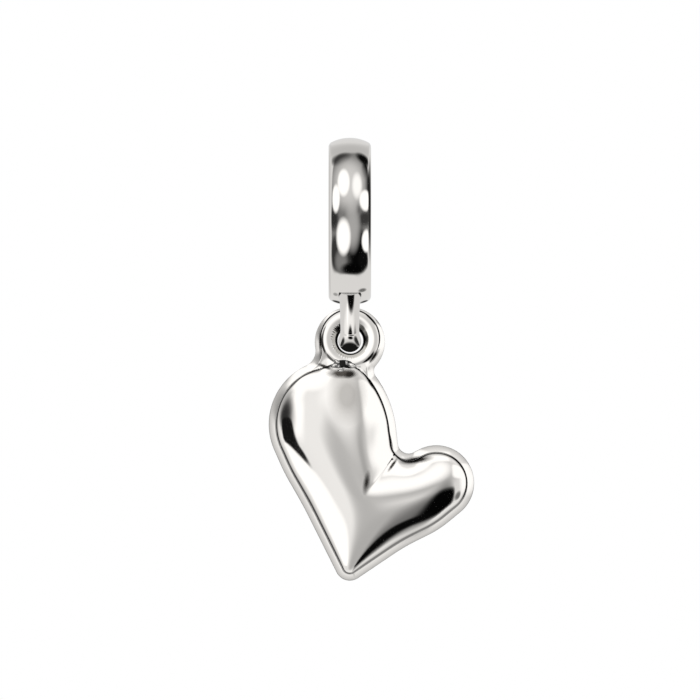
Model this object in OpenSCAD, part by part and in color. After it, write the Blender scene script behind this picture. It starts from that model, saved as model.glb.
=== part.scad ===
// A silver heart charm: a puffed, lopsided heart whose cast eye hangs in the soldered link of a carrier ring.
// Millimetres. X is to the wearer's right in a front view, Z is up, and the heart's front faces -Y.
// The origin is the middle of the carrier ring's opening, where the charm hangs on a bracelet.

/* [Carrier ring] */
// Radius of the opening that the bracelet runs through
bore_r = 3.1; // [2.8:0.05:3.3]
// Outer radius of the ring at the top of its crown
ring_r = 4.55; // [4.45:0.05:4.6]
// Width of the band from side to side
band_w = 2.3; // [2:0.05:2.6]
// Radius of the crown across the band
crown_r = 2.2; // [1.8:0.05:3]
// Rounding where the crown meets each side of the band
shoulder_r = 0.3; // [0.2:0.05:0.4]
// Rounding at each mouth of the opening
mouth_r = 0.2; // [0.1:0.05:0.3]

/* [Link] */
// Radius of the link's wire where it runs straight
wire_r = 0.53; // [0.48:0.01:0.54]
// Radius of the link's wire round its bend, which is a little fuller
bend_wire_r = 0.56; // [0.55:0.01:0.57]
// Radius of the bend at the link's foot, at the wire's middle
bend_r = 0.97; // [0.96:0.01:1]
// Lean of each strand away from upright, in degrees
strand_lean = 27; // [25:1:28]
// Radius of the lump of solder where a strand meets the ring
solder_r = 0.76; // [0.7:0.02:0.8]

/* [Eye] */
// Outer radius of the eye
eye_r = 1.9; // [1.8:0.02:1.9]
// Height of the eye's middle
eye_z = -6.55; // [-6.6:0.01:-6.55]
// Radius of the eye's hole at its waist
hole_r = 0.7; // [0.68:0.01:0.74]
// How far the hole lies to the right of the eye's middle
hole_right = 0.03; // [0:0.01:0.05]
// How far the hole lies above the eye's middle
hole_up = 0.08; // [0:0.01:0.1]
// Radius of the round section of the raised ring about the hole
welt_r = 0.49; // [0.44:0.01:0.5]
// Half the thickness of the flat rim about the raised ring
eye_rim_h = 0.32; // [0.25:0.01:0.4]

/* [Heart] */
// How far the rim stands forward of the heart's middle plane
rim_h = 0.4; // [0.3:0.05:0.5]
// Width of the rolled rim round the dome, as seen from the front
rim_w = 0.38; // [0.3:0.02:0.42]
// Share of the front dome's height that the plain back has
back_share = 0.3; // [0.1:0.05:1]
// How steeply the dome rises at its foot: more makes a fuller edge
foot_fullness = 0.35; // [0.1:0.05:0.6]
// Share by which the crease below the cleft lets the dome down, where it starts
crease_depth = 0.55; // [0.2:0.05:0.7]
// Width over which each lobe falls to the crease
crease_w = 0.7; // [0.3:0.05:1]

/* [Hidden] */
$fn = 96;

X = 0;
Z = 1;
R = 2;

// The heart's edge is a belt drawn tight round these formers, counter-clockwise in a front view.
// A former with a negative radius holds the belt in from outside, and makes a hollow.
// Columns: x, z, radius
LEFT_LOBE = [-0.9, -11, 3.5];
LEFT_FLANK = [6, -8.8, 10.7];
LEFT_HOLLOW = [-19.2, -24.4, -18.92];
TIP = [0, -18.7, 0.8];
RIGHT_HOLLOW = [8.7, -27.5, -11.36];
UNDERSIDE = [1.6, -11.7, 5.95];
RIGHT_LOBE = [4.7, -14.2, 2.05];
CLEFT = [3.2, -12, -0.6];
INNER_SIDE = [-3.4, -11.9, 5.95];
SHOULDER = [-0.5, -9.5, 2.19];
FORMERS = [
    LEFT_LOBE, LEFT_FLANK, LEFT_HOLLOW, TIP, RIGHT_HOLLOW,
    UNDERSIDE, RIGHT_LOBE, CLEFT, INNER_SIDE, SHOULDER
];
// Radii of the two hollows between the eye and the heart
LEFT_NECK_R = 0.9;
RIGHT_NECK_R = 0.45;
// Longest step along the belt
edge_step = 0.38;

// The crease between the lobes starts under the cleft and fades out
CREASE_START = [2.55, -12.5];
CREASE_END = [0.6, -15.2];
crease_soft = 0.08;
// The dome's rings close in on this point, from which the whole edge can be seen
DOME_MIDDLE = [1.1, -14.5];
// How far each ring of the dome has closed in, as a share of the way
FRONT_RINGS = [0.02, 0.05, 0.09, 0.14, 0.21, 0.29, 0.38, 0.47, 0.57, 0.67, 0.77, 0.88];
BACK_RINGS = [0.03, 0.1, 0.25, 0.45, 0.7];
roll_steps = 5;

// The hinge: the eye swings about the middle of its hole, where the link's bend lies
HOLE = [hole_right, eye_z + hole_up];
welt_ring_r = hole_r + welt_r;
bend_z = HOLE[Z] + bend_r;

function unit(v) = v / norm(v);
function flat(row) = [row[X], row[Z]];
function on_turn(angle) = [cos(angle), sin(angle)];
function total(list) = [for (value = list) 1] * list;

// Direction in which the belt's straight run from one former to the next faces outwards
function run_faces(a, b) =
    let (run = flat(b) - flat(a))
    atan2(run[Z], run[X]) - acos((a[R] - b[R]) / norm(run));

// Points along the belt where it lies on a former, as [x, z, outward x, outward z]
function on_former(former, from, to) =
    let (
        swept = (to - from) % 360,
        turn = former[R] > 0 ? (swept < 0 ? swept + 360 : swept) : (swept > 0 ? swept - 360 : swept),
        steps = max(1, ceil(abs(turn * former[R]) * PI / 180 / edge_step))
    )
    [for (k = [0:steps]) let (out = on_turn(from + turn * k / steps)) concat(flat(former) + former[R] * out, out)];

// Points along the belt's straight run from one former to the next, without the ends
function on_run(a, b, faces) =
    let (
        out = on_turn(faces),
        start = flat(a) + a[R] * out,
        end = flat(b) + b[R] * out,
        steps = max(1, ceil(norm(end - start) / edge_step))
    )
    [for (k = [1:1:steps - 1]) concat(start + (end - start) * k / steps, out)];

// The whole belt, counter-clockwise from the first former
function belt(formers) =
    let (n = len(formers))
    [
        for (i = [0:n - 1])
            let (
                before = formers[(i + n - 1) % n],
                former = formers[i],
                after = formers[(i + 1) % n],
                leaves = run_faces(former, after)
            )
            each concat(on_former(former, run_faces(before, former), leaves), on_run(former, after, leaves))
    ];

// The dome's foot line, inside the rolled rim
function foot_line(edge) = [for (e = edge) [e[0] - e[2] * rim_w, e[1] - e[3] * rim_w]];

// How much of the view from p the stretch from a to b takes up, weighed by its nearness
function nearness(p, a, b) =
    let (along = unit(b - a), va = a - p, vb = b - p, clear = va * [along[1], -along[0]])
    (vb * along / norm(vb) - va * along / norm(va)) / clear;

// A smooth depth inside the foot line: nothing on the line, and most in the middle of the widest lobe
function depth_inside(p, line) =
    2 / total([for (i = [0:len(line) - 1]) nearness(p, line[i], line[(i + 1) % len(line)])]);

// Share by which the crease lets the dome down at p
function crease(p) =
    let (
        way = CREASE_END - CREASE_START,
        along = (p - CREASE_START) * way / norm(way),
        s = min(1, max(0, along / norm(way))),
        off = norm(p - CREASE_START - unit(way) * max(0, along)),
        fall = sqrt(off * off + crease_soft * crease_soft) - crease_soft
    )
    crease_depth * (1 - s * s * (3 - 2 * s)) * exp(-fall / crease_w);

// Height of the dome over its foot
function dome_height(p, line) =
    let (depth = max(0, depth_inside(p, line)) * (1 - crease(p)))
    sqrt(depth * (depth + 2 * foot_fullness));

// One ring of the rolled rim: it runs in from the edge and up to the dome's foot
function roll_ring(edge, turn, side) = [
    for (e = edge)
        let (inset = rim_w * (1 - cos(turn)))
        [e[0] - e[2] * inset, side * rim_h * sin(turn), e[1] - e[3] * inset]
];

// One ring of the dome, a share of the way from its foot to the dome's middle
function dome_ring(line, share, side, height) = [
    for (foot = line)
        let (p = foot + (DOME_MIDDLE - foot) * share)
        [p[X], side * (rim_h + height * dome_height(p, line)), p[Z]]
];

function dome_top(line, side, height) =
    [DOME_MIDDLE[X], side * (rim_h + height * dome_height(DOME_MIDDLE, line)), DOME_MIDDLE[Z]];

// Triangles between two neighbouring rings of n points that start at a and b in the list
function band(a, b, n) = [
    for (i = [0:n - 1])
        let (j = (i + 1) % n)
        each [[a + i, b + i, b + j], [a + i, b + j, a + j]]
];

function fan(a, top, n) = [for (i = [0:n - 1]) [a + i, top, a + (i + 1) % n]];

// A full turn of the band's section: bore, rounded mouths, sides, shoulders and crown
module ring_section() {
    half = band_w / 2;
    lean = asin((half - shoulder_r) / (crown_r - shoulder_r));
    shoulder = [ring_r - crown_r + (crown_r - shoulder_r) * cos(lean), half - shoulder_r];
    crown = [for (k = [0:6]) [ring_r - crown_r, 0] + crown_r * on_turn(lean * k / 6)];
    corner = [for (k = [1:5]) shoulder + shoulder_r * on_turn(lean + (90 - lean) * k / 5)];
    mouth = [for (k = [0:4]) [bore_r + mouth_r, half - mouth_r] + mouth_r * on_turn(90 + 90 * k / 4)];
    side = concat(crown, corner, mouth);
    polygon(concat(side, [for (i = [len(side) - 1:-1:1]) [side[i][0], -side[i][1]]]));
}

module ring() {
    rotate([0, 90, 0]) rotate_extrude() ring_section();
}

// A strand runs from the bend up into the ring's wall, with a lump of solder where it enters
module strand(side) {
    start = [side * bend_r * cos(strand_lean), bend_z - bend_r * sin(strand_lean)];
    way = [side * sin(strand_lean), cos(strand_lean)];
    b = start * way;
    enters = -b - sqrt(b * b - start * start + ring_r * ring_r);
    sunk = (ring_r - bore_r) / 2;
    translate([0, start[0], start[1]]) rotate([-side * strand_lean, 0, 0]) {
        cylinder(r = wire_r, h = enters + sunk);
        translate([0, 0, enters + sunk * 0.7]) sphere(r = solder_r);
    }
}

module bend() {
    half_turn = 93 - strand_lean;
    translate([0, 0, bend_z]) rotate([0, 90, 0]) rotate([0, 0, -half_turn])
        rotate_extrude(angle = 2 * half_turn) translate([bend_r, 0]) circle(r = bend_wire_r);
}

module carrier() {
    color("silver") union() {
        ring();
        strand(-1);
        strand(1);
        bend();
    }
}

module heart_body() {
    edge = belt(FORMERS);
    line = foot_line(edge);
    n = len(edge);
    turns = [for (k = [1:roll_steps]) 90 * k / roll_steps];
    front = concat([for (t = turns) roll_ring(edge, t, -1)], [for (s = FRONT_RINGS) dome_ring(line, s, -1, 1)]);
    back = concat([for (t = turns) roll_ring(edge, t, 1)], [for (s = BACK_RINGS) dome_ring(line, s, 1, back_share)]);
    rings = concat([roll_ring(edge, 0, 1)], front, back);
    f = len(front);
    last = len(rings) * n;
    polyhedron(
        points = concat([for (ring = rings) each ring], [dome_top(line, -1, 1), dome_top(line, 1, back_share)]),
        faces = concat(
            [for (k = [0:f - 1]) each band(k * n, (k + 1) * n, n)],
            fan(f * n, last, n),
            [for (k = [f:len(rings) - 2]) each band((k + 1) * n, (k == f ? 0 : k) * n, n)],
            [for (face = fan(last - n, last + 1, n)) [face[0], face[2], face[1]]]
        ),
        convexity = 4
    );
}

// A solid of the flat XZ shape given, centred on the middle plane
module plate(half) {
    rotate([90, 0, 0]) linear_extrude(2 * half, center = true) children();
}

// Middle of a circle of radius r that touches two round formers, on the left of the way from a to b
function nestled(a, b, r) =
    let (
        way = flat(b) - flat(a),
        d = norm(way),
        along = (pow(a[R] + r, 2) - pow(b[R] + r, 2) + d * d) / (2 * d),
        across = sqrt(pow(a[R] + r, 2) - along * along)
    )
    flat(a) + unit(way) * along + [-way[Z], way[X]] / d * across;

// The neck fills the two hollows between the eye and the heart's shoulders
module neck() {
    eye = [0, eye_z, eye_r];
    left = nestled(LEFT_LOBE, eye, LEFT_NECK_R);
    right = nestled(eye, INNER_SIDE, RIGHT_NECK_R);
    plate(eye_rim_h) difference() {
        polygon([
            flat(eye), left, left + LEFT_NECK_R * unit(flat(LEFT_LOBE) - left), flat(SHOULDER),
            right + RIGHT_NECK_R * unit(flat(INNER_SIDE) - right), right
        ]);
        translate(left) circle(r = LEFT_NECK_R);
        translate(right) circle(r = RIGHT_NECK_R);
    }
}

module turned_about(centre) {
    translate([centre[X], 0, centre[Z]]) rotate([90, 0, 0]) children();
}

module eye_rim() {
    turned_about([0, eye_z]) rotate_extrude() polygon(concat(
        [[0, -eye_rim_h]],
        [for (a = [-90:18:90]) [eye_r - rim_w * 0.75 * (1 - cos(a)), eye_rim_h * sin(a)]],
        [[0, eye_rim_h]]
    ));
}

module welt() {
    turned_about(HOLE) rotate_extrude()
        polygon([for (a = [9:18:360]) [welt_ring_r + welt_r * cos(a), welt_r * sin(a)]]);
}

module heart() {
    color("silver") union() {
        difference() {
            union() {
                heart_body();
                neck();
                eye_rim();
            }
            turned_about(HOLE) cylinder(r = hole_r + welt_r / 2, h = 4, center = true);
        }
        welt();
    }
}

carrier();
heart();
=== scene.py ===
import math

import bpy
import numpy as np
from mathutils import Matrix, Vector
from mathutils.geometry import delaunay_2d_cdt


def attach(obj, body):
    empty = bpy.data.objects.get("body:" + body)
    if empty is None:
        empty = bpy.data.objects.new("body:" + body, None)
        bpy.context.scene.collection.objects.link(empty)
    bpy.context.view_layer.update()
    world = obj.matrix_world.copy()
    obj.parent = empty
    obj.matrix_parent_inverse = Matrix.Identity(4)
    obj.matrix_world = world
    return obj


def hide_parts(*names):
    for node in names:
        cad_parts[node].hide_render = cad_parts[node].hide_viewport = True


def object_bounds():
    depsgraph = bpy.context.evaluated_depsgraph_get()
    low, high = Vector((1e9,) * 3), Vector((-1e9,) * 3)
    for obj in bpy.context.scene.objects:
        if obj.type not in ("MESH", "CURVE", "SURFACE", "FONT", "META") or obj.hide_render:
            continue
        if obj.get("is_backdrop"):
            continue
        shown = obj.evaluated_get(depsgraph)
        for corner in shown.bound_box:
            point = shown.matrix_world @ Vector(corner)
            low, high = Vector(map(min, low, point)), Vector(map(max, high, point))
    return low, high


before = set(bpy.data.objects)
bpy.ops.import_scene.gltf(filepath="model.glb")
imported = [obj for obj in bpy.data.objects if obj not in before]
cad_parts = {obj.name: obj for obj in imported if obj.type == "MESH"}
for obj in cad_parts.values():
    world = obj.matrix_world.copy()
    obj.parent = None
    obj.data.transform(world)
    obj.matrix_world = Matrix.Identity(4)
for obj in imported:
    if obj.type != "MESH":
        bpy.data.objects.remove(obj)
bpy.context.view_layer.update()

# Camera: a long lens square on to the charm's front, as in the photograph. The middle of the
# carrier ring, which is the origin, lies at ring_px in the picture.
picture_px, pixels_per_m = 700, 18410
ring_px = (349.8, 221.6)
camera_back, sensor_mm = 0.40, 36
camera_data = bpy.data.cameras.new("camera")
camera_data.sensor_width = sensor_mm
camera_data.lens = sensor_mm * camera_back * pixels_per_m / picture_px
camera_data.clip_start = 0.01
camera = bpy.data.objects.new("camera", camera_data)
camera.location = ((picture_px / 2 - ring_px[0]) / pixels_per_m, -camera_back,
                   (ring_px[1] - picture_px / 2) / pixels_per_m)
camera.rotation_euler = (math.radians(90), 0, 0)
bpy.context.scene.collection.objects.link(camera)
bpy.context.scene.camera = camera
bpy.context.scene.view_settings.view_transform = "Standard"
bpy.context.scene.view_settings.look = "None"


# Floor: a plain sheet of pale paper, well below the hanging charm and below the camera's view.
# The silver doesn't mirror it, because each piece of silver has a studio tent of its own.
def linear(hex_colour):
    """sRGB hex to the linear colour that shaders take."""
    parts = [int(hex_colour[i:i + 2], 16) / 255 for i in (1, 3, 5)]
    return tuple(c / 12.92 if c <= 0.04045 else ((c + 0.055) / 1.055) ** 2.4
                 for c in parts) + (1.0,)


def add_node(tree, kind, settings=None, **links):
    """Adds a node, sets its properties and inputs, and links outputs of others to its inputs.

    An input goes by its name, with _ for a space in links, or by its number as i0, i1 and so on.
    """
    node = tree.nodes.new(kind)

    def socket(key):
        return node.inputs[int(key[1:]) if key[1:].isdigit() else key.replace("_", " ")]

    for key, value in (settings or {}).items():
        if hasattr(node, key):
            setattr(node, key, value)
        else:
            socket(key).default_value = value
    for key, source in links.items():
        tree.links.new(source, socket(key))
    return node


floor_side, floor_z = 0.6, -0.045
bpy.ops.object.select_all(action="DESELECT")
bpy.ops.mesh.primitive_plane_add(size=floor_side, location=(0, 0, floor_z))
floor = bpy.context.object
floor.name = "floor"
# Uncoated paper, pressed without a glaze, so it is an even matt white from every side.
paper = bpy.data.materials.new("matt_white_paper")
paper.use_nodes = True
paper_shader = paper.node_tree.nodes["Principled BSDF"]
paper_shader.inputs["Base Color"].default_value = linear("#f4f3f1")
paper_shader.inputs["Roughness"].default_value = 0.9
floor.data.materials.append(paper)
floor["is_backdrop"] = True
floor.visible_glossy = False

# Studio: a plain white room, which is what the camera sees behind the charm. The polished metal
# mirrors a photographer's tent of pale cloth instead, with soft lights and dark cards hung in it.
# Each of the charm's four pieces has its own tent, lit for its own shape.
world = bpy.data.worlds.new("white_room")
world.use_nodes = True
bpy.context.scene.world = world
room = world.node_tree
room.nodes.clear()
mirrored = add_node(room, "ShaderNodeLightPath").outputs["Is Glossy Ray"]
white = add_node(room, "ShaderNodeBackground", {"Color": linear("#ffffff"), "Strength": 1.0})
unlit = add_node(room, "ShaderNodeBackground", {"Color": linear("#000000"), "Strength": 0.0})
choice = add_node(room, "ShaderNodeMixShader", i0=mirrored, i1=white.outputs[0],
                  i2=unlit.outputs[0])
add_node(room, "ShaderNodeOutputWorld", Surface=choice.outputs[0])


def studio_tent(name, piece, radius, cloth, hung):
    """A great sphere of lit cloth that only one piece mirrors, with lights and cards hung in it.

    A place in it is given as degrees to the right of and above the camera's own direction.
    Each row of what hangs there: right, up, half width, half height, tilt, softness, corners
    (2 for an oval, 4 for a rounded box) and grey. A later row hangs in front of the rows before
    it. The greys, the cloth's too, are those that the silver shows, from 0 to 255.
    """
    brightness = 1.15
    bpy.ops.object.select_all(action="DESELECT")
    bpy.ops.mesh.primitive_uv_sphere_add(segments=64, ring_count=32, radius=radius)
    sphere = bpy.context.object
    sphere.name = name
    bpy.ops.object.shade_smooth()
    # Dyed cotton cloth, lit through from behind. It has no gloss, so the silver shows its greys.
    paint = bpy.data.materials.new("lit_" + name)
    paint.use_nodes = True
    # The silver is a mirror and finds the tent by its own reflections, so no light is sought in it.
    paint.cycles.emission_sampling = "NONE"
    tree = paint.node_tree
    tree.nodes.clear()
    place = add_node(tree, "ShaderNodeTexCoord").outputs["Object"]
    way = add_node(tree, "ShaderNodeVectorMath", {"operation": "NORMALIZE"}, i0=place).outputs[0]
    parts = add_node(tree, "ShaderNodeSeparateXYZ", i0=way).outputs
    ahead = add_node(tree, "ShaderNodeMath", {"operation": "MULTIPLY", "i1": -1.0}, i0=parts[1])
    angle = add_node(tree, "ShaderNodeMath", {"operation": "ARCCOSINE"}, i0=ahead.outputs[0])
    degrees = add_node(tree, "ShaderNodeMath", {"operation": "DEGREES"}, i0=angle.outputs[0])
    flat = add_node(tree, "ShaderNodeVectorMath",
                    {"operation": "MULTIPLY", "i1": (1.0, 0.0, 1.0)}, i0=way)
    aim = add_node(tree, "ShaderNodeVectorMath", {"operation": "NORMALIZE"}, i0=flat.outputs[0])
    spot = add_node(tree, "ShaderNodeVectorMath", {"operation": "SCALE"}, i0=aim.outputs[0],
                    Scale=degrees.outputs[0]).outputs[0]

    def shade(grey):
        return linear("#" + "%02x" % grey * 3)

    behind = {}
    for right, up, half_wide, half_high, tilt, soft, corners, grey in hung:
        power = add_node(tree, "ShaderNodeMapping", {
            "vector_type": "TEXTURE", "Location": (right, 0, up),
            "Rotation": (0, -math.radians(tilt), 0), "Scale": (half_wide, 1, half_high)},
            Vector=spot).outputs[0]
        for _ in range(corners // 2):
            power = add_node(tree, "ShaderNodeVectorMath", {"operation": "MULTIPLY"},
                             i0=power, i1=power).outputs[0]
        reach = add_node(tree, "ShaderNodeVectorMath",
                         {"operation": "DOT_PRODUCT", "i1": (1.0, 0.0, 1.0)}, i0=power)
        mask = add_node(tree, "ShaderNodeMapRange", {
            "interpolation_type": "SMOOTHSTEP", "From Min": (1 + soft) ** corners,
            "From Max": (1 - soft) ** corners}, Value=reach.outputs["Value"])
        layer = add_node(tree, "ShaderNodeMix", {
            "data_type": "RGBA", "i6": shade(cloth), "i7": shade(grey)},
            i0=mask.outputs[0], **behind)
        behind = {"i6": layer.outputs[2]}
    glow = add_node(tree, "ShaderNodeEmission", {"Strength": brightness}, Color=behind["i6"])
    # The cloth lets light from outside through, so one tent doesn't darken what is in another.
    thin = add_node(tree, "ShaderNodeBsdfTransparent")
    both = add_node(tree, "ShaderNodeAddShader", i0=glow.outputs[0], i1=thin.outputs[0])
    add_node(tree, "ShaderNodeOutputMaterial", Surface=both.outputs[0])
    sphere.data.materials.append(paint)
    sphere.visible_camera = False
    sphere.visible_diffuse = False
    sphere.visible_shadow = False
    mirrored_by = bpy.data.collections.new(name + "_is_for")
    mirrored_by.objects.link(piece)
    sphere.light_linking.receiver_collection = mirrored_by
    sphere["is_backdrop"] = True


# Carrier ring: the band that slides on the bracelet. It is turned from sterling silver, with a
# crowned outside and round shoulders, and polished. Its sizes are in millimetres.
MM = 0.001
bore_r, ring_r, half_band = 3.1, 4.55, 1.15
crown_r, shoulder_r, mouth_r = 2.2, 0.3, 0.2
lean = math.asin((half_band - shoulder_r) / (crown_r - shoulder_r))
crown_points, shoulder_points, mouth_points, band_steps = 13, 10, 8, 256
smooth_below = math.radians(50)


# Sterling silver, polished on a felt wheel, which makes it a near-white mirror with a trace of
# warmth. The wheel leaves a faint haze and fine lines. Its corners and crevices are darkened
# with painted shade.
def polished_silver(name, tone="#f8f5f1", haze=0.06, painted_patches=()):
    """Sterling silver, as polished as its haze says. Lengths are in millimetres.

    Each row of the patches given last is a soft patch of painted shade and dimmed reflection,
    seen from the front: x, z, half width, half height, tilt and colour. It is whole inside
    patch_inner and gone outside patch_outer, both as shares of its half width and height.
    """
    haze_cloud, haze_change, tone_cloud, tone_change, crevice = 1.1, 0.3, 4.0, 0.97, 0.5
    patch_y, patch_half_deep, patch_outer, patch_inner = -1, 2, 1.3, 0.5
    # The wheel's lines are about 0.005 mm apart, too fine to show, so they are drawn coarser.
    wheel_line, wheel_depth = 0.11, 0.01
    silver = bpy.data.materials.new(name)
    silver.use_nodes = True
    tree = silver.node_tree
    shader = tree.nodes["Principled BSDF"]
    shader.inputs["Metallic"].default_value = 1.0
    place = add_node(tree, "ShaderNodeTexCoord").outputs["Object"]
    swirl = add_node(tree, "ShaderNodeTexNoise", {
        "Scale": 1 / (haze_cloud * MM), "Detail": 3.0, "Roughness": 0.6}, Vector=place)
    rough = add_node(tree, "ShaderNodeMapRange", {
        "From Min": 0.3, "From Max": 0.7, "To Min": haze * (1 - haze_change),
        "To Max": haze * (1 + haze_change)}, Value=swirl.outputs[0])
    tree.links.new(rough.outputs["Result"], shader.inputs["Roughness"])
    warm = add_node(tree, "ShaderNodeTexNoise", {
        "Scale": 1 / (tone_cloud * MM), "Detail": 2.0}, Vector=place)
    bright = linear(tone)
    colour = add_node(tree, "ShaderNodeMix", {
        "data_type": "RGBA", "i6": bright,
        "i7": [c * tone_change for c in bright[:3]] + [1.0]}, i0=warm.outputs[0])
    # Painted shade: the colour darkens to near black where nearby metal closes a point in, in
    # corners and crevices.
    crevice_occlusion = add_node(tree, "ShaderNodeAmbientOcclusion", {
        "samples": 8, "Distance": crevice * MM})
    painted_crevice_shade = add_node(tree, "ShaderNodeMapRange", {
        "From Min": 0.5, "From Max": 0.15}, Value=crevice_occlusion.outputs["AO"])
    colour = add_node(tree, "ShaderNodeMix", {
        "data_type": "RGBA", "i7": linear("#2a2825")},
        i0=painted_crevice_shade.outputs["Result"], i6=colour.outputs[2])
    # Each patch paints shade and dimmed reflection into the base colour.
    for x, z, half_wide, half_high, tilt, painted_grey in painted_patches:
        near = add_node(tree, "ShaderNodeMapping", {
            "vector_type": "TEXTURE", "Location": (x * MM, patch_y * MM, z * MM),
            "Rotation": (0, -math.radians(tilt), 0),
            "Scale": (half_wide * MM, patch_half_deep * MM, half_high * MM)}, Vector=place)
        off = add_node(tree, "ShaderNodeVectorMath", {"operation": "LENGTH"}, i0=near.outputs[0])
        painted_mask = add_node(tree, "ShaderNodeMapRange", {
            "From Min": patch_outer, "From Max": patch_inner}, Value=off.outputs["Value"])
        colour = add_node(tree, "ShaderNodeMix", {"data_type": "RGBA", "i7": linear(painted_grey)},
                          i0=painted_mask.outputs["Result"], i6=colour.outputs[2])
    tree.links.new(colour.outputs[2], shader.inputs["Base Color"])
    hair = add_node(tree, "ShaderNodeTexNoise", {
        "Scale": 1 / (wheel_line * MM), "Detail": 2.0}, Vector=place)
    bump = add_node(tree, "ShaderNodeBump", {
        "Strength": 0.02, "Distance": wheel_depth * MM}, Height=hair.outputs[0])
    tree.links.new(bump.outputs["Normal"], shader.inputs["Normal"])
    return silver


def arc(centre, radius, first, last, count):
    """Points of an arc, from the angle first to the angle last."""
    return [(centre[0] + radius * math.cos(a), centre[1] + radius * math.sin(a))
            for a in np.linspace(first, last, count)]


def merge_and_face_out():
    """Ends the edit of a mesh: merges what lies in one place and turns every face outwards."""
    bpy.ops.mesh.select_all(action="SELECT")
    bpy.ops.mesh.remove_doubles(threshold=1e-7)
    bpy.ops.mesh.normals_make_consistent(inside=False)
    bpy.ops.object.mode_set(mode="OBJECT")


def turned(name, section, centre, axis, steps):
    """A ring turned about an axis through centre, from the closed line of points of its section."""
    bpy.ops.object.select_all(action="DESELECT")
    bpy.ops.mesh.primitive_circle_add(vertices=len(section), radius=MM)
    ring = bpy.context.object
    ring.name = name
    for vertex, place in zip(ring.data.vertices, section):
        vertex.co = [c * MM for c in place]
    bpy.ops.object.mode_set(mode="EDIT")
    bpy.ops.mesh.select_all(action="SELECT")
    bpy.ops.mesh.spin(steps=steps, angle=2 * math.pi, center=[c * MM for c in centre], axis=axis)
    merge_and_face_out()
    return ring


shoulder = (ring_r - crown_r + (crown_r - shoulder_r) * math.cos(lean), half_band - shoulder_r)
half_section = arc((ring_r - crown_r, 0), crown_r, 0, lean, crown_points)[:-1]
half_section += arc(shoulder, shoulder_r, lean, math.pi / 2, shoulder_points)
half_section += arc((bore_r + mouth_r, half_band - mouth_r), mouth_r, math.pi / 2, math.pi,
                    mouth_points)
section = half_section + [(bore_r, 0.0)] + [(r, -x) for r, x in reversed(half_section[1:])]
carrier = turned("carrier_ring", [(x, 0, r) for r, x in section], (0, 0, 0), (1, 0, 0), band_steps)
bpy.ops.object.shade_smooth_by_angle(angle=smooth_below)
carrier.data.materials.append(polished_silver("polished_sterling_silver_carrier"))
carrier.visible_glossy = False
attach(carrier, "carrier_body")
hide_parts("carrier")
# right, up, half width, half height, tilt, softness, corners, grey
studio_tent("carrier_tent", carrier, 1.2, 208, [
    (0, 112, 70, 16, 0, 0.9, 2, 178),
    (-107, 0, 16, 80, 0, 0.6, 4, 188),
    (94, 18, 40, 50, 0, 0.5, 2, 40),
    (0, 15.5, 55, 92.5, 0, 0.04, 4, 118),
    (0, -47, 51, 29, 0, 0.12, 4, 62),
    (-44, -46, 14, 22, 0, 0.5, 2, 50),
    (-26, -58, 14, 14, 0, 0.7, 2, 120),
    (24, -42, 24, 32, 0, 0.35, 2, 6),
    (9, -69, 32, 9, 0, 0.4, 2, 4),
    (42, -55, 16, 13, 0, 0.4, 2, 12),
    (-46, 4, 12, 14, 0, 0.6, 2, 45),
    (36, 4, 34, 9, 0, 0.6, 2, 55),
    (0, 16, 30, 8, 0, 0.7, 2, 110),
    (22, 15, 5, 6, 0, 0.6, 2, 30),
    (8, -8, 14, 22, 0, 0.95, 2, 160),
    (47, 74, 10, 12, 0, 0.5, 2, 5),
    (44, 94, 22, 9, -25, 0.5, 2, 10),
    (-30, 95, 26, 9, 12, 0.6, 2, 55),
    (62, 52, 14, 16, 0, 0.6, 2, 20),
    (-2, 55, 34, 28, 0, 0.8, 2, 200),
    (-18, 55, 17, 20, 0, 0.2, 2, 255),
    (21, 50, 12, 16, 0, 0.5, 2, 250),
    (-40, 31, 11, 19, 0, 0.2, 2, 255),
    (45, 28, 17, 14, -8, 0.2, 2, 255),
    (-18, -22, 19, 24, 0, 0.25, 2, 255),
    (49, -27, 14, 15, 0, 0.2, 2, 255),
    (-52, -152, 22, 7, -10, 0.4, 2, 45),
    (62, -152, 18, 7, 10, 0.4, 2, 60),
    (43, -110, 12, 4, 8, 0.5, 2, 105),
    (-51, -121, 8, 4, -8, 0.5, 2, 150),
])

# Link: a V of drawn sterling silver wire, polished. Its foot is bent through the heart's eye, and
# its two ends are soldered into the band, where the solder leaves a small soft fillet.
hole = (0.03, -6.47)
wire_r, bend_r, strand_lean, strand_length = 0.5, 0.97, math.radians(27), 2.45
bend_z = hole[1] + bend_r
strand_way = Vector((0, -math.sin(strand_lean), math.cos(strand_lean)))
other_way = Vector((0, -strand_way.y, strand_way.z))
strand_foot = Vector((0, -bend_r * math.cos(strand_lean), bend_z - bend_r * math.sin(strand_lean)))
wire_sides, strand_rings, bend_rings = 64, 60, 72
bpy.ops.object.select_all(action="DESELECT")
bpy.ops.mesh.primitive_circle_add(vertices=wire_sides, radius=wire_r * MM, fill_type="NGON",
                                  location=(strand_foot + strand_way * strand_length) * MM,
                                  rotation=(strand_lean, 0, 0))
link = bpy.context.object
link.name = "link"
bpy.ops.object.transform_apply(location=True, rotation=True, scale=True)
bpy.ops.object.mode_set(mode="EDIT")
bpy.ops.mesh.select_all(action="SELECT")
step = -strand_way * strand_length / strand_rings * MM
for _ in range(strand_rings):
    bpy.ops.mesh.extrude_region_move(TRANSFORM_OT_translate={"value": step})
bpy.ops.mesh.spin(steps=bend_rings, angle=2 * strand_lean - math.pi, center=(0, 0, bend_z * MM),
                  axis=(1, 0, 0))
step = other_way * strand_length / strand_rings * MM
for _ in range(strand_rings):
    bpy.ops.mesh.extrude_region_move(TRANSFORM_OT_translate={"value": step})
merge_and_face_out()

# The wire is fuller in the eye, most on the outside of the bend, and also towards the ring. Its
# strands bow outwards on their way up, and the solder climbs them.
fuller_out, fuller_in, fuller_per_mm = 0.25, 0.10, 0.05
bow, bow_foot_z, bow_length, bow_blend = 0.45, -6.2, 2.6, 0.7
solder_reach = 0.1


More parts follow.
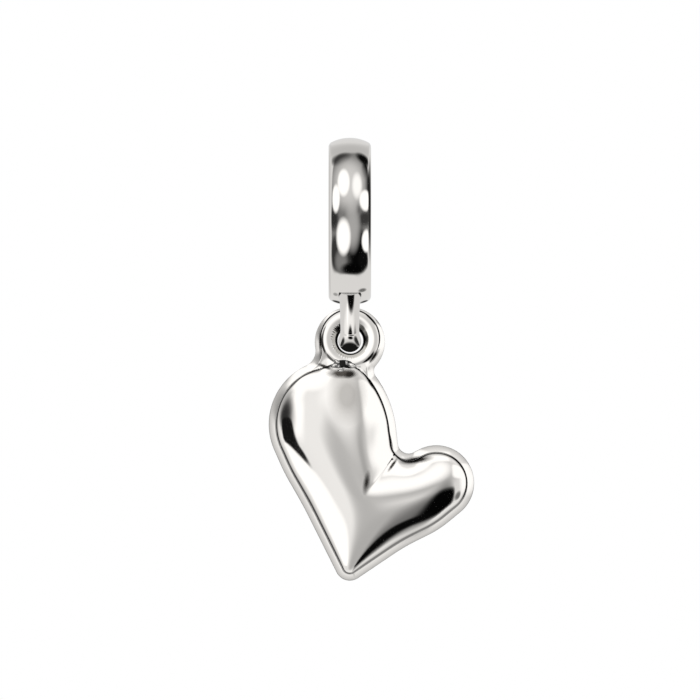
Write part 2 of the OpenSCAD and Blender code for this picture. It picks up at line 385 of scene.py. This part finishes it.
def up_strand(y, z):
    """How far up the first strand a point lies, from the strand's foot."""
    return (y - strand_foot.y) * strand_way.y + (z - strand_foot.z) * strand_way.z


def bowed(z):
    """How far a strand is bowed outwards at a height. The bend below is drawn in instead."""
    climb = (z - bow_foot_z) / bow_length
    return bow * climb * (1 - max(0.0, climb))


for vertex in link.data.vertices:
    p = vertex.co / MM
    if max(up_strand(p.y, p.z), up_strand(-p.y, p.z)) < -1e-4:
        turn = math.atan2(abs(p.y), bend_z - p.z)
        middle = Vector((0, math.copysign(bend_r * math.sin(turn), p.y),
                         bend_z - bend_r * math.cos(turn)))
        out = p - middle
        low = max(0.0, math.cos(turn)) ** 3
        outside = out.dot(middle - Vector((0, 0, bend_z))) > 0
        wide = 1 + fuller_out * low
        deep = 1 + (fuller_out if outside else fuller_in) * low
        p = middle + Vector((out.x * wide, out.y * deep, out.z * deep))
        p.y += max(-1.0, min(1.0, p.y / bow_blend)) * bowed(p.z)
        vertex.co = p * MM
    else:
        side = -1 if p.y < 0 else 1
        way = Vector((0, -side * strand_way.y, strand_way.z))
        foot = Vector((0, -side * strand_foot.y, strand_foot.z))
        along = (p - foot).dot(way)
        middle = foot + way * along
        out = p - middle
        p = middle + out * (1 + fuller_per_mm * along)
        p.y += side * bowed(p.z)
        hub = Vector((0, p.y, p.z)).normalized() * (ring_r - crown_r)
        clear = (p - hub).length - crown_r
        near = min(1.0, max(0.0, 1 - clear / solder_reach))
        face = (p - hub).normalized()
        spread = (out - face * out.dot(face)).normalized()
        vertex.co = (p + spread * solder_reach * (1 - math.sqrt(1 - near ** 2))) * MM
bpy.ops.object.shade_smooth_by_angle(angle=smooth_below)
link.data.materials.append(polished_silver("polished_sterling_silver_link"))
link.visible_glossy = False
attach(link, "carrier_body")
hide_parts("carrier")
# right, up, half width, half height, tilt, softness, corners, grey
studio_tent("link_tent", link, 1.3, 203, [
    (-10, -64, 55, 10, 0, 0.8, 2, 235),
    (-28, -57, 9, 6, 0, 0.7, 2, 255),
    (12, -36, 46, 21, 0, 0.15, 2, 8),
    (8, -72, 28, 6.5, 0, 0.3, 2, 4),
    (0, -132, 150, 42, 0, 0.15, 4, 22),
    (-96, -76, 30, 15, 0, 0.4, 2, 40),
    (90, -73, 38, 14, 0, 0.4, 2, 45),
])

# Heart: a solid casting in sterling silver, polished, with a domed front, a bevelled rim all round
# and a nearly flat back. Its dome is worked out from its edge, and no primitive can be pushed into
# it, so it is laid out as rings of points along the edge and a fine net between them.

# Formers that the edge lies on, as x, z, radius. One with a negative radius makes a hollow.
LEFT_LOBE, LEFT_FLANK, LEFT_HOLLOW = (-0.9, -11, 3.5), (6, -8.8, 10.7), (-19.2, -24.4, -18.92)
TIP, RIGHT_HOLLOW, UNDERSIDE = (0, -18.7, 0.8), (8.7, -27.5, -11.36), (1.6, -11.7, 5.95)
RIGHT_LOBE, CLEFT, INNER_SIDE = (4.7, -14.2, 2.05), (3.2, -12, -0.6), (-3.4, -11.9, 5.95)
SHOULDER, EYE = (-0.5, -9.5, 2.19), (0, -6.55, 1.9)
left_nook_r, right_nook_r = 0.9, 0.45
rim_w, rim_h, eye_rim_h, plate_hole_r = 0.38, 0.46, 0.42, 1.08
back_fullness = 0.3
edge_step, edge_turn, foot_step, foot_turn = 0.07, 0.09, 0.1, 0.2


def nestled(a, b, r):
    """A hollow of radius r between two formers, on the left of the way from a to b."""
    way = np.subtract(b[:2], a[:2])
    d = np.hypot(*way)
    along = ((a[2] + r) ** 2 - (b[2] + r) ** 2 + d * d) / (2 * d)
    across = math.sqrt((a[2] + r) ** 2 - along ** 2)
    middle = np.array(a[:2]) + way / d * along + np.array((-way[1], way[0])) / d * across
    return (*middle, -r)


def belt(formers, inset, step, least_turn):
    """Points of the belt drawn tight round the formers, moved in by inset, counter-clockwise.

    They lie a step apart, or less where the belt turns by more than least_turn in a step.
    """
    formers = [np.array(f, float) for f in formers]
    count = len(formers)
    faces = []
    for a, b in zip(formers, formers[1:] + formers[:1]):
        run = b[:2] - a[:2]
        tilt = max(-1, min(1, (a[2] - b[2]) / np.hypot(*run)))
        faces.append(math.atan2(run[1], run[0]) - math.acos(tilt))
    points = []
    for i, f in enumerate(formers):
        after, start, end = formers[(i + 1) % count], faces[i - 1], faces[i]
        turn = (end - start) % (2 * math.pi)
        if f[2] < 0:
            turn -= 2 * math.pi
        if abs(abs(turn) - 2 * math.pi) < 1e-6:
            turn = 0.0
        steps = max(1, math.ceil(abs(turn * f[2]) / step), math.ceil(abs(turn) / least_turn))
        for k in range(steps + 1):
            a = start + turn * k / steps
            points.append(f[:2] + (f[2] - inset) * np.array((math.cos(a), math.sin(a))))
        out = np.array((math.cos(end), math.sin(end)))
        run_start, run_end = f[:2] + f[2] * out, after[:2] + after[2] * out
        steps = math.ceil(np.hypot(*(run_end - run_start)) / step)
        for k in range(1, steps):
            points.append(run_start + (run_end - run_start) * k / steps - inset * out)
    return np.array(points)


heart_formers = [LEFT_LOBE, LEFT_FLANK, LEFT_HOLLOW, TIP, RIGHT_HOLLOW, UNDERSIDE, RIGHT_LOBE,
                 CLEFT, INNER_SIDE]
whole_formers = heart_formers + [nestled(EYE, INNER_SIDE, right_nook_r), EYE,
                                 nestled(LEFT_LOBE, EYE, left_nook_r)]
foot_line = belt(heart_formers + [SHOULDER], rim_w, foot_step, foot_turn)


def depth_inside(p):
    """A smooth depth inside the foot line: nothing on it, and most in the middle of a lobe."""
    total = np.zeros(len(p))
    for a, b in zip(foot_line, np.roll(foot_line, -1, axis=0)):
        along = b - a
        length = np.hypot(*along)
        if length < 1e-9:
            continue
        along = along / length
        va, vb = a - p, b - p
        clear = va @ np.array((along[1], -along[0]))
        clear = np.where(np.abs(clear) < 1e-7, 1e-7, clear)
        ends = vb @ along / (np.hypot(*vb.T) + 1e-9) - va @ along / (np.hypot(*va.T) + 1e-9)
        total += ends / clear
    return 2 / np.maximum(total, 1e-6)


def inside(p, line):
    """Which of the points lie inside the closed line."""
    within = np.zeros(len(p), bool)
    for a, b in zip(line, np.roll(line, -1, axis=0)):
        if a[1] != b[1]:
            between = (a[1] > p[:, 1]) != (b[1] > p[:, 1])
            within ^= between & (p[:, 0] < (b[0] - a[0]) * (p[:, 1] - a[1]) / (b[1] - a[1]) + a[0])
    return within


# The crease runs in from the cleft between the lobes and fades out as it goes down.
crease_start, crease_end = np.array((2.55, -12.5)), np.array((0.6, -15.2))
crease_depth, crease_w, crease_soft, foot_fullness = 0.55, 0.7, 0.08, 0.35
crease_run = crease_end - crease_start
crease_length = np.hypot(*crease_run)
crease_way = crease_run / crease_length
crease_side = np.array((crease_way[1], -crease_way[0]))


def crease(p):
    """The share of the depth that the crease takes away."""
    along = (p - crease_start) @ crease_way
    s = np.clip(along / crease_length, 0, 1)
    off = np.hypot(*(p - crease_start - np.outer(np.maximum(along, 0), crease_way)).T)
    fall = np.sqrt(off ** 2 + crease_soft ** 2) - crease_soft
    return crease_depth * (1 - s * s * (3 - 2 * s)) * np.exp(-fall / crease_w)


def dome(p):
    """Height of the dome above the foot line, where it starts steeply."""
    depth = np.where(inside(p, foot_line), np.maximum(depth_inside(p), 0), 0) * (1 - crease(p))
    return np.sqrt(depth * (depth + 2 * foot_fullness))


# Broad low lumps that the casting's gate left under the eye, as x, z, radius, height.
CAST_MARKS = [(-1.15, -7.9, 0.5, 0.12), (0.95, -7.95, 0.4, 0.10), (-0.3, -7.75, 0.7, 0.12)]


def marks(p):
    """Height of the gate's lumps."""
    total = np.zeros(len(p))
    for x, z, radius, high in CAST_MARKS:
        off = ((p[:, 0] - x) ** 2 + (p[:, 1] - z) ** 2) / radius ** 2
        total += high * np.maximum(0, 1 - off) ** 2
    return total


def rim(p, inset):
    """The rim's bevel: a rounded edge, then a face that grows a little less steep as it comes in.

    Round the eye the rim is lower, and it rises to its full height over the heart's top.
    """
    rise_from_z, rise_length, edge_round, easing = -7.2, 1.4, 0.06, 0.16
    risen = np.clip((rise_from_z - p[:, 1]) / rise_length, 0, 1)
    s = np.minimum(inset, rim_w) / rim_w
    bevel = edge_round * np.sqrt(s) + (1 - edge_round) * s * (1 + easing * (1 - s))
    return (eye_rim_h + (rim_h - eye_rim_h) * risen) * bevel


def height(p, inset, domed):
    """Height of a face above the heart's middle plane. The gate marked the full front alone."""
    marked = marks(p) * np.minimum(inset / rim_w, 1) ** 2 if domed == 1 else 0
    return rim(p, inset) + domed * dome(p) + marked


# Rings of points along the edge: up the bevelled rim, then close together over the dome's foot.
insets = [rim_w * s for s in (0, 0.005, 0.015, 0.035, 0.08, 0.16, 0.3, 0.5, 0.7, 0.88, 1)]
insets += [rim_w + d for d in (0.004, 0.014, 0.03, 0.052, 0.08, 0.12, 0.17, 0.24, 0.31)]
rings = [belt(whole_formers, inset, edge_step, edge_turn) for inset in insets]
ring_count = len(rings[0])
inner_line = rings[-1]

# The hole in the plate, which the eye's foot covers.
hole_steps = 240
around = np.linspace(0, 2 * math.pi, hole_steps, endpoint=False)
hole_edge = np.array(hole) + plate_hole_r * np.c_[np.cos(around), np.sin(around)]

# A net of points between: close round the eye and the crease, wider over the dome.
eye_net_r, eye_net_gap, eye_net_step, least_gap = 2.3, 0.04, 0.045, 0.03
left, right, bottom, top, wide_step, edge_gap = -4.6, 6.9, -19.5, -6, 0.095, 0.05
beside_crease, before_crease, past_crease, crease_net_step = 0.25, 0.2, 0.1, 0.05
eye_net = []
for rho in np.arange(plate_hole_r + least_gap, eye_net_r, eye_net_gap):
    count = int(2 * math.pi * rho / eye_net_step)
    turn = 2 * math.pi * (np.arange(count) + 0.5 * (len(eye_net) % 2)) / count
    eye_net.append(np.array(hole) + rho * np.c_[np.cos(turn), np.sin(turn)])
wide_net = []
for z in np.arange(bottom, top, wide_step * math.sqrt(3) / 2):
    x = np.arange(left, right, wide_step) + (len(wide_net) % 2) * wide_step / 2
    wide_net.append(np.c_[x, np.full(len(x), z)])
wide_net = np.concatenate(wide_net)
wide_net = wide_net[np.hypot(*(wide_net - hole).T) > eye_net_r + least_gap]
net = np.concatenate(eye_net + [wide_net])
along, across = (net - crease_start) @ crease_way, (net - crease_start) @ crease_side
net = net[(np.abs(across) >= beside_crease) | (along <= -before_crease)
          | (along >= crease_length + past_crease)]
crease_net = [crease_start + crease_way * s + crease_side * o
              for s in np.arange(0.03 - before_crease, crease_length + 0.08, crease_net_step)
              for o in (-0.2, -0.14, -0.09, -0.05, -0.02, 0.0, 0.02, 0.05, 0.09, 0.14, 0.2)]
net = np.concatenate([net, crease_net])
net = net[inside(net, inner_line)]
clear = np.full(len(net), np.inf)
for q in inner_line:
    clear = np.minimum(clear, np.hypot(*(net - q).T))
net = net[clear > edge_gap]

flat_points = np.concatenate([inner_line, hole_edge, net])
edges = [(i, (i + 1) % ring_count) for i in range(ring_count)]
edges += [(ring_count + i, ring_count + (i + 1) % hole_steps) for i in range(hole_steps)]
laid = delaunay_2d_cdt([Vector(p) for p in flat_points], edges, [], 1, 1e-7)
laid_points = np.array([tuple(p) for p in laid[0]])
lands = {old: new for new, olds in enumerate(laid[3]) for old in olds}
round_the_hole = {lands[ring_count + i] for i in range(hole_steps)}
laid_faces = [tuple(face) for face in laid[2] if not round_the_hole.issuperset(face)]

points, faces = [], []


def add_points(p, y):
    """Adds points at a height, and gives their numbers."""
    first = len(points)
    points.extend(zip(p[:, 0] * MM, y * MM, p[:, 1] * MM))
    return list(range(first, len(points)))


def add_band(a, b):
    """Adds the faces between two closed rings of points."""
    for i in range(len(a)):
        faces.append((a[i - 1], a[i], b[i], b[i - 1]))


edge_ring = add_points(rings[0], np.zeros(ring_count))
hole_rings = []
for side, domed in ((-1, 1.0), (1, back_fullness)):
    last = edge_ring
    for ring, inset in zip(rings[1:-1], insets[1:-1]):
        this = add_points(ring, side * height(ring, np.full(len(ring), inset), domed))
        add_band(last, this)
        last = this
    well_inside = np.full(len(laid_points), 1.0)
    laid_ids = add_points(laid_points, side * height(laid_points, well_inside, domed))
    faces.extend(tuple(laid_ids[i] for i in face) for face in laid_faces)
    add_band(last, [laid_ids[lands[i]] for i in range(ring_count)])
    hole_rings.append([laid_ids[lands[ring_count + i]] for i in range(hole_steps)])
add_band(*hole_rings)
heart_mesh = bpy.data.meshes.new("heart_casting")
heart_mesh.from_pydata(points, [], faces)
heart = bpy.data.objects.new("heart_casting", heart_mesh)
bpy.context.scene.collection.objects.link(heart)
bpy.ops.object.select_all(action="DESELECT")
heart.select_set(True)
bpy.context.view_layer.objects.active = heart
bpy.ops.object.mode_set(mode="EDIT")
bpy.ops.mesh.select_all(action="SELECT")
bpy.ops.mesh.remove_doubles(threshold=1e-7)
bpy.ops.mesh.dissolve_degenerate(threshold=1e-7)
bpy.ops.mesh.normals_make_consistent(inside=False)
bpy.ops.object.mode_set(mode="OBJECT")
bpy.ops.object.shade_smooth()
# Soft patches of painted shade and dimmed reflection, in the groove round the eye and on the
# heart: x, z, half width, half height, tilt, colour.
IN_THE_GROOVE = [
    (1.56, -5.42, 0.45, 0.09, -55, "#2e2b28"),
    (1.33, -7.3, 0.42, 0.12, 54, "#2e2b28"),
    (-1.6, -6.55, 0.09, 0.6, 0, "#2e2b28"),
]
ON_THE_HEART = [
    (-0.15, -9.5, 0.9, 1.35, 0, "#b6b3af"),
    (-0.4, -8.24, 0.72, 0.24, 0, "#504c48"),
    (0.0, -8.3, 0.3, 0.18, 15, "#2e2b28"),
    (-1.37, -7.87, 0.46, 0.1, -21, "#3a3734"),
    (3.6, -12.93, 0.8, 0.18, 8, "#2e2b28"),
    (2.32, -13.2, 0.4, 0.08, 54, "#3a3734"),
    (0.9, -14.15, 0.17, 0.6, -10, "#4a4643"),
    (1.08, -8.71, 0.42, 0.07, -60, "#2e2b28"),
    (2.19, -11.75, 0.7, 0.06, -77, "#2e2b28"),
]
heart.data.materials.append(polished_silver("polished_sterling_silver_heart",
                                            painted_patches=ON_THE_HEART + IN_THE_GROOVE))
# Sterling silver painted nearly black in the narrow start of the crease, as painted shade,
# with a soft sheen.
heart.data.materials.append(polished_silver("silver_painted_dark_in_the_crease",
                                            "#1c1b1a", 0.2))
pit_from, pit_length, pit_half_wide, pit_front_y = -0.1, 1.0, 0.055, -0.5
# Faces in the crease's start take the material painted dark as shade.
for face in heart.data.polygons:
    x, y, z = face.center / MM
    along = (x - crease_start[0]) * crease_way[0] + (z - crease_start[1]) * crease_way[1]
    across = abs((x - crease_start[0]) * crease_side[0] + (z - crease_start[1]) * crease_side[1])
    if along > pit_from and across < pit_half_wide * (1 - along / pit_length) and y < pit_front_y:
        face.material_index = 1
heart.visible_glossy = False
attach(heart, "heart_body")
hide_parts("heart")
# right, up, half width, half height, tilt, softness, corners, grey
studio_tent("heart_tent", heart, 1.5, 222, [
    (0, 0, 150, 150, 0, 0.03, 2, 60),
    (110, 40, 70, 110, 0, 0.4, 2, 4),
    (70, -110, 60, 30, 30, 0.4, 2, 120),
    (0, 0, 113, 113, 0, 0.04, 2, 180),
    (0, 0, 101, 101, 0, 0.12, 2, 229),
    (0, 0, 66, 66, 0, 0.25, 4, 208),
    (0, 45, 40, 16, 0, 0.8, 2, 205),
    (-30, 5, 24, 45, 0, 0.9, 2, 230),
    (22, 20, 22, 18, 0, 0.9, 2, 172),
    (-4, -10, 12, 16, 0, 0.95, 2, 176),
    (12, 36, 20, 18, 0, 0.9, 2, 255),
    (12, -46, 26, 18, 10, 0.9, 2, 168),
    (38, -40, 10, 32, 0, 0.9, 2, 90),
    (-40, 70, 30, 22, -12, 0.3, 4, 255),
    (-54, 42, 14, 20, -30, 0.4, 2, 255),
    (-48, 12, 9, 22, -10, 0.4, 2, 255),
    (12, 77, 26, 12, 0, 0.4, 4, 255),
    (-80, 28, 16, 22, 0, 0.8, 2, 150),
    (-71, 12, 13, 18, 0, 0.9, 2, 45),
    (-68, -10, 13, 19, 0, 0.12, 4, 20),
    (-58, -38, 24, 10, 0, 0.2, 4, 255),
    (70, 34, 24, 20, 0, 0.2, 4, 252),
    (92, 8, 18, 32, 0, 0.7, 2, 252),
    (43, -40, 11, 29, 3, 0.25, 4, 4),
    (34, -62, 8, 8, 0, 0.4, 2, 8),
    (66, -38, 8, 12, 0, 0.6, 2, 110),
    (-57, -23, 5, 4, -30, 0.4, 2, 30),
])

# Eye: the raised ring round the heart's hole, cast in sterling silver in one with the heart, which
# hides its foot. It is shaped like a bead, with a flare filed by hand inside the hole, so that the
# flare's edge on the front chatters.
throat_r, flare_in, flare_out, bead_r, foot_r = 0.69, 0.82, 1.0, 1.3, 1.66
bead_high, bead_fall, foot_high, eye_steps = 0.57, 0.072, 0.16, 360
# Points of the front half of its section, as radius, height: throat, flare, bead's inside.
half_section = [(throat_r, 0.06), (0.705, 0.14), (0.73, 0.22), (0.76, 0.29), (0.8, 0.35)]
half_section += [(flare_in, 0.375), (0.832, 0.384), (0.88, 0.418), (0.94, 0.46), (0.988, 0.492)]
half_section += [(flare_out, 0.498)]
half_section += [(bead_r - (bead_r - flare_out) * t, bead_high - bead_fall * t * t)
                 for t in (0.93, 0.8, 0.65, 0.5, 0.35, 0.2, 0.1)]
half_section += [(bead_r + (foot_r - bead_r) * math.sin(a),
                  foot_high + (bead_high - foot_high) * math.cos(a))
                 for a in np.linspace(0, math.pi / 2, 19)]
section = [(throat_r, 0.0)] + half_section + [(r, -y) for r, y in reversed(half_section)]
eye = turned("eye", [(hole[0] + r, y, hole[1]) for r, y in section],
             (hole[0], 0, hole[1]), (0, 1, 0), eye_steps)

# The file's chatter, as depth, waves round the hole and start, is strongest to the left. The bead
# sits a little higher than its throat.
CHATTER = [(0.022, 26, 0), (0.014, 17, 1)]
chatter_reach, chatter_at, chatter_spread = 0.1, math.radians(200), 0.35
lift_x, lift_z, lift_over = -0.02, 0.09, 0.3
for vertex in eye.data.vertices:
    x, y, z = vertex.co.x / MM - hole[0], vertex.co.y / MM, vertex.co.z / MM - hole[1]
    r, a = math.hypot(x, z), math.atan2(z, x)
    if y < 0:
        facing = max(0.0, math.cos(a - chatter_at) + chatter_spread) / (1 + chatter_spread)
        filed = max(0.0, 1 - abs(r - flare_out) / chatter_reach) * facing
        wave = sum(depth * math.sin(waves * a + start) for depth, waves, start in CHATTER)
        y -= filed * abs(wave)
    lifted = min(1.0, max(0.0, (r - throat_r) / lift_over))
    vertex.co = ((hole[0] + x + lift_x * lifted) * MM, y * MM,
                 (hole[1] + z + lift_z * lifted) * MM)
bpy.ops.object.shade_smooth()
eye.data.materials.append(polished_silver("polished_sterling_silver_eye",
                                          painted_patches=IN_THE_GROOVE))
# Sterling silver as a fine file leaves it, a little greyer and duller than the polished bead.
eye.data.materials.append(polished_silver("filed_sterling_silver", "#d2cfc9", 0.14))
# Sterling silver painted nearly black in the throat and in the scar's pit, as painted shade,
# with a soft sheen.
eye.data.materials.append(polished_silver("silver_painted_dark_in_throat_and_scar", "#242322", 0.2))
flare_up, dark_past = 0.05, 0.005
# Faces in the throat take the material painted dark as shade; the flare takes filed silver.
for face in eye.data.polygons:
    off = math.hypot(face.center.x / MM - hole[0], face.center.z / MM - hole[1] - flare_up)
    face.material_index = 2 if off < flare_in + dark_past else 1 if off < flare_out else 0
# The gate's scar under the hole is a pit painted nearly black as shade, with bright pips of
# silver in it: x, y, z, half length, half width, tilt and the number of its material.
scar_half_deep = 0.2
GATE_SCAR = [
    (-0.36, -0.8, -7.79, 0.56, 0.28, 0, 2),
    (-0.84, -0.93, -7.8, 0.2, 0.1, 20, 0),
    (0.12, -0.97, -7.8, 0.24, 0.13, -18, 0),
    (-0.7, -0.96, -7.6, 0.17, 0.1, -30, 0),
    (-0.18, -1.02, -7.66, 0.06, 0.12, 10, 0),
    (-0.5, -1.13, -8.08, 0.18, 0.07, 0, 0),
    (-0.62, -1.05, -7.86, 0.1, 0.07, 40, 0),
    (-0.34, -1.05, -7.96, 0.08, 0.05, 30, 0),
]
for x, y, z, half_long, half_wide, tilt, finish in GATE_SCAR:
    bpy.ops.mesh.primitive_uv_sphere_add(
        segments=32, ring_count=20, radius=MM, location=(x * MM, y * MM, z * MM),
        rotation=(0, -math.radians(tilt), 0), scale=(half_long, scar_half_deep, half_wide))
    bpy.ops.object.shade_smooth()
    bpy.context.object.data.materials.append(eye.data.materials[finish])
    eye.select_set(True)
    bpy.context.view_layer.objects.active = eye
    bpy.ops.object.join()
eye.visible_glossy = False
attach(eye, "heart_body")
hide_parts("heart")
# right, up, half width, half height, tilt, softness, corners, grey
studio_tent("eye_tent", eye, 1.4, 205, [
    (0, 0, 150, 150, 0, 0.05, 2, 12),
    (0, 0, 104, 104, 0, 0.05, 2, 225),
    (0, 0, 60, 60, 0, 0.3, 2, 240),
    (38, 0, 30, 50, 0, 0.8, 2, 195),
    (-30, 10, 28, 40, 0, 0.6, 2, 255),
    (0, -42, 30, 20, 0, 0.8, 2, 165),
    (-68, -2, 16, 34, 0, 0.15, 4, 120),
    (-84, -18, 16, 34, 0, 0.3, 2, 8),
    (-55, -52, 26, 16, 40, 0.3, 2, 90),
    (46, -46, 18, 26, 40, 0.25, 2, 6),
    (86, 30, 10, 30, 0, 0.5, 2, 235),
    (74, 68, 24, 14, -45, 0.3, 2, 6),
])

low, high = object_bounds()
